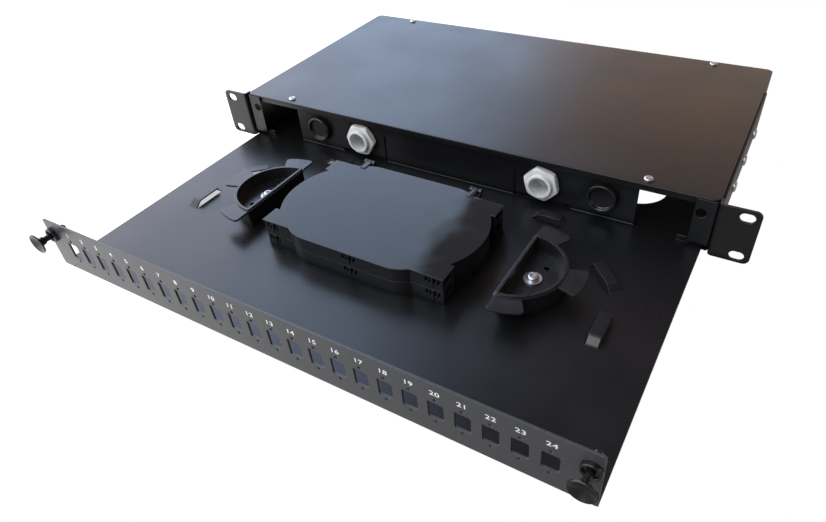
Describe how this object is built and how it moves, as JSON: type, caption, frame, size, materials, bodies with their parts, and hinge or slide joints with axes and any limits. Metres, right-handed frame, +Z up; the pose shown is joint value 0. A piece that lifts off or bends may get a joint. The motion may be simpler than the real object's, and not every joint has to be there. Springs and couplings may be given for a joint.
{
  "type": "fiber termination box",
  "caption": "Rack-mount fibre termination box: a flat black housing with a sliding tray that carries an adapter panel, hinged splice cassettes, fibre spools and cable glands.",
  "frame": {"origin": "midway between the rack ears, on the ears' front plane, at the height of the housing's underside", "axes": "+X to the viewer's right seen from the front, +Y towards the rear, +Z up"},
  "size_m": [0.4826, 0.464, 0.0449],
  "materials": {
    "powder_coat": "fine-textured semi-gloss black powder coat",
    "panel_coat": "fine-textured satin black powder coat",
    "zinc_screw": "bright zinc plate",
    "black_abs": "moulded black ABS, semi-gloss",
    "lid_abs": "glossy black sheet",
    "black_nylon": "moulded black nylon",
    "white_nylon": "moulded white nylon",
    "seal_rubber": "matt light grey",
    "comb_rubber": "matt grey"
  },
  "bodies": {
    "housing": {"housing_base": "powder_coat", "front_cross_beam": "powder_coat", "rear_cross_beam": "powder_coat", "top_cover": "powder_coat", "cover_screws": "zinc_screw", "left_rack_ear": "powder_coat", "right_rack_ear": "powder_coat", "ear_screws": "zinc_screw"},
    "drawer": {"tray": "powder_coat", "front_panel": "panel_coat", "left_latch_grommet": "black_nylon", "right_latch_grommet": "black_nylon", "left_fibre_spool": "black_abs", "right_fibre_spool": "black_abs", "spool_screws": "zinc_screw", "spool_washers": "zinc_screw", "lower_cassette": "black_abs", "lower_splice_combs": "comb_rubber", "cassette_screws": "zinc_screw", "left_gland_body": "white_nylon", "right_gland_body": "white_nylon", "gland_locknuts": "white_nylon", "left_gland_seal": "seal_rubber", "right_gland_seal": "seal_rubber", "left_blind_plug": "black_nylon", "right_blind_plug": "black_nylon"},
    "left_latch": {"left_latch_plunger": "black_nylon"},
    "right_latch": {"right_latch_plunger": "black_nylon"},
    "upper_cassette": {"upper_cassette": "black_abs", "upper_splice_combs": "comb_rubber"},
    "cassette_lid": {"cassette_lid": "lid_abs"},
    "left_dome_nut": {"left_gland_dome_nut": "white_nylon"},
    "right_dome_nut": {"right_gland_dome_nut": "white_nylon"}
  },
  "joints": [
    {"name": "drawer_slide", "type": "slide", "parent": "housing", "child": "drawer", "axis": [0, -1, 0], "range_m": [-0.2193, 0]},
    {"name": "left_latch_push", "type": "slide", "parent": "drawer", "child": "left_latch", "axis": [0, -1, 0], "range_m": [-0.006, 0]},
    {"name": "right_latch_push", "type": "slide", "parent": "drawer", "child": "right_latch", "axis": [0, -1, 0], "range_m": [-0.006, 0]},
    {"name": "upper_cassette_hinge", "type": "hinge", "parent": "drawer", "child": "upper_cassette", "pos_m": [-0.002, -0.029, 0.0137], "axis": [-1, 0, 0], "range_deg": [0, 60]},
    {"name": "cassette_lid_hinge", "type": "hinge", "parent": "upper_cassette", "child": "cassette_lid", "pos_m": [-0.002, -0.029, 0.0251], "axis": [-1, 0, 0], "range_deg": [0, 70]},
    {"name": "left_dome_nut_turn", "type": "hinge", "parent": "drawer", "child": "left_dome_nut", "pos_m": [-0.086, 0.024, 0.0208], "axis": [0, 1, 0], "continuous": true},
    {"name": "right_dome_nut_turn", "type": "hinge", "parent": "drawer", "child": "right_dome_nut", "pos_m": [0.086, 0.024, 0.0208], "axis": [0, 1, 0], "continuous": true}
  ]
}
